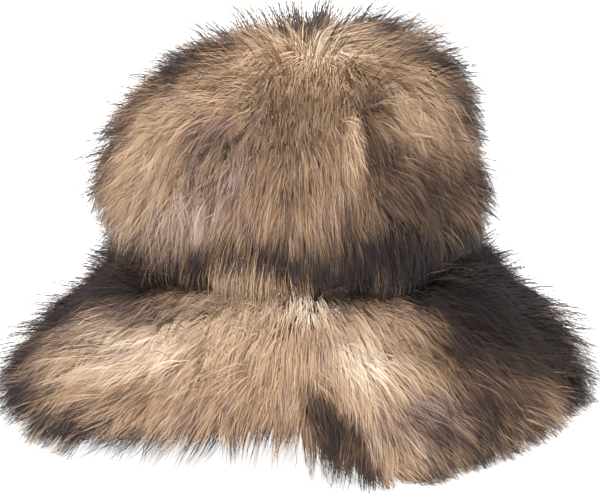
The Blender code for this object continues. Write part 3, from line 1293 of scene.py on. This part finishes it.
        def middles(tufts: Tufts, in_lock: np.ndarray, in_clump: np.ndarray) -> np.ndarray:
            """The path of the hair in the middle of each tuft."""
            placed = settle(tufts.roots, tufts.keep, in_lock, in_clump)
            return self.paths(hair, tufts.roots, tufts.normals, *placed)

        turn, lift, length = settle(roots, keep, lock, clump)
        turn = turn + np.radians(hair.stray) * chance.normal(size=count)
        lift = lift + np.radians(hair.stray) * chance.normal(size=count)
        length = length * (1 + hair.length_spread * chance.normal(size=count).clip(*vary.lengths))
        paths = self.paths(hair, roots, normals, turn, lift, length)
        along = np.linspace(0, 1, hair.joints + 1)[None, :, None]
        of_locks = middles(locks, np.arange(len(locks.roots)), clumps.nearest(locks.roots))
        of_clumps = middles(clumps, clump_lock, np.arange(len(clumps.roots)))
        of_clumps += (of_locks[clump_lock] - of_clumps) * hair.lock_pull * along**vary.lock_bend
        paths += (of_locks[lock] - paths) * hair.lock_pull * along**vary.lock_bend
        paths += (of_clumps[clump] - paths) * hair.clump_pull * along**vary.clump_bend
        low = FLOOR_GAP + vary.fray * MM * chance.random(count)[:, None] ** 2 * along[0, :, 0] ** 2
        paths[:, :, 2] = np.maximum(paths[:, :, 2], low)
        paths = self.held(paths)
        shown = paths[:, -2] * (1 - vary.shown_tip) + paths[:, -1] * vary.shown_tip
        rows, odds, draws = self.markings.paint(shown, normals, clump, chance)
        least, most = hair.dark_odds
        dark = draws < least + (most - least) * odds
        light = vary.light + vary.light_spread * chance.normal(size=count)
        light += vary.light_spread * vary.light_ripple.at(shown)
        depth = vary.dark + vary.dark * odds + vary.dark_spread * chance.normal(size=count)
        depth = CHART_DARK + (1 - CHART_DARK) * (hair.dark_share * depth).clip(*vary.darks)
        shades = np.where(dark, depth, light.clip(*vary.lights))
        rolls = np.radians(vary.roll) * chance.uniform(-1, 1, size=count)
        widths = hair.width * MM * chance.uniform(*vary.widths, size=count)
        return Hairs(paths, normals, widths, rolls, rows, shades)

    def dress(self, growth: Growth, hairs: Hairs, finish: bpy.types.Material) -> None:
        """Makes pieces of hairs, each of one share of the way round, and fits them to the frame.

        Args:
            growth: What was grown.
            hairs: The hairs.
            finish: Their material.
        """
        share = share_of(bearing(hairs.paths[:, 0]), growth.pieces)
        for number in range(growth.pieces):
            chosen = share == number
            name = f"{self.solid.replace('_fur', '')}_{growth.hair.kind.value}"
            if growth.pieces > 1:
                name += f"_{number + 1}"
            mesh = hairs.part(chosen).mesh(name)
            mesh.materials.append(finish)
            piece = bpy.data.objects.new(name, mesh)
            bpy.context.scene.collection.objects.link(piece)
            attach(piece, "root")
            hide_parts(self.solid)
            LOG.info("%s: %d hairs", name, int(chosen.sum()))


@dataclass
class Backing:
    """The knitted cloth of crown and brim, as the frame has it."""

    nodes: tuple[str, ...] = ("crown_tip", "crown_band", "brim_cloth")

    def dress(self) -> None:
        """Gives the cloth its knitted finish."""
        knit = KnitFinish().build()
        for name in self.nodes:
            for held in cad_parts[name].material_slots:
                held.material = knit
            LOG.info("%s: knitted backing", name)


@dataclass
class Softbox:
    """A large soft lamp: where it stands, how wide it is and how much it gives."""

    name: str
    place: tuple[float, float, float]
    size: float
    power: float
    aimed_at: tuple[float, float, float] = (0.0, 0.0, 0.10)

    def build(self) -> None:
        """Makes the lamp, aimed at the hat."""
        data = bpy.data.lights.new(self.name, "AREA")
        data.shape = "SQUARE"
        data.size = self.size
        data.energy = self.power
        lamp = bpy.data.objects.new(self.name, data)
        bpy.context.scene.collection.objects.link(lamp)
        lamp.location = self.place
        aim = Vector(self.aimed_at) - Vector(self.place)
        lamp.rotation_euler = aim.to_track_quat("-Z", "Y").to_euler()


@dataclass
class Studio:
    """The pale floor, the lamps and the even light all round."""

    floor_radius: float = 9.0
    floor_sides: int = 96
    ambient: float = 1.55
    ambient_colour: tuple[float, float, float, float] = (1.0, 1.0, 1.0, 1.0)
    lamps: tuple[Softbox, ...] = (
        Softbox("front_softbox", (-0.5, -2.0, 1.3), 2.2, 15.0),
        Softbox("low_softbox", (0.2, -2.4, 0.45), 1.8, 18.0),
        Softbox("top_softbox", (0.0, -0.3, 2.2), 2.2, 30.0),
    )

    def build(self) -> None:
        """Makes the floor, the lamps and the sky."""
        bpy.ops.object.select_all(action="DESELECT")
        bpy.ops.mesh.primitive_circle_add(
            vertices=self.floor_sides, radius=self.floor_radius, fill_type="NGON"
        )
        floor = bpy.context.object
        floor.name = "studio_floor"
        floor.data.materials.append(FloorFinish().build())
        for lamp in self.lamps:
            lamp.build()
        world = bpy.data.worlds.new("studio")
        bpy.context.scene.world = world
        world.use_nodes = True
        sky = world.node_tree.nodes["Background"]
        sky.inputs["Color"].default_value = self.ambient_colour
        sky.inputs["Strength"].default_value = self.ambient
        bpy.context.scene.view_settings.view_transform = "Standard"


class BucketHat:
    """The whole hat: its knitted cloth and the pile on its crown and brim."""

    def __init__(self, view: PhotoView) -> None:
        """Takes the sizes that the pile needs from the frame.

        Args:
            view: The photo's camera, for the markings.
        """
        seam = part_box("crown_band")[0].z
        self.backing = Backing()
        crown = {
            "markings": Markings(view, CROWN_PATCHES, CROWN_COATS),
            "trims": CROWN_TRIMS,
            "dome": CROWN_DOME,
        }
        self.piles = (
            Pile(
                "crown_tip", "crown_tip_fur", "crown_tip_pile", Comb(CROWN_PARTINGS, CROWN_LEAN),
                (Growth(UNDERFUR, 1.0), Growth(AWN, 0.43), Growth(GUARD, 0.10)), seed=101, **crown,
            ),
            Pile(
                "crown_band", "crown_band_fur", "crown_band_pile", Comb(CROWN_PARTINGS, CROWN_LEAN),
                (Growth(UNDERFUR, 0.90), Growth(AWN, 0.41), Growth(GUARD, 0.10)), seed=202,
                seam=seam, at_seam=0.14, fade=0.046, **crown,
            ),
            Pile(
                "brim_cloth", "brim_fur", "brim_pile", Comb(BRIM_PARTINGS, BRIM_LEAN),
                (Growth(UNDERFUR, 1.04, 2), Growth(AWN, 0.385), Growth(GUARD, 0.10)), seed=303,
                seam=seam, at_seam=1.15, lift_at_seam=10, fade=0.024, hem=0.007, trims=BRIM_TRIMS,
                markings=Markings(view, BRIM_PATCHES, BRIM_COATS),
            ),
        )

    def build(self) -> None:
        """Dresses the cloth and grows every pile."""
        self.backing.dress()
        finish = HairFinish().build()
        for pile in self.piles:
            pile.build(finish)


def main() -> None:
    """Builds the hat and its studio."""
    logging.basicConfig(level=logging.INFO, format="%(name)s: %(message)s")
    view = PhotoView()
    BucketHat(view).build()
    Studio().build()
    view.build()


if __name__ == "__main__":
    main()
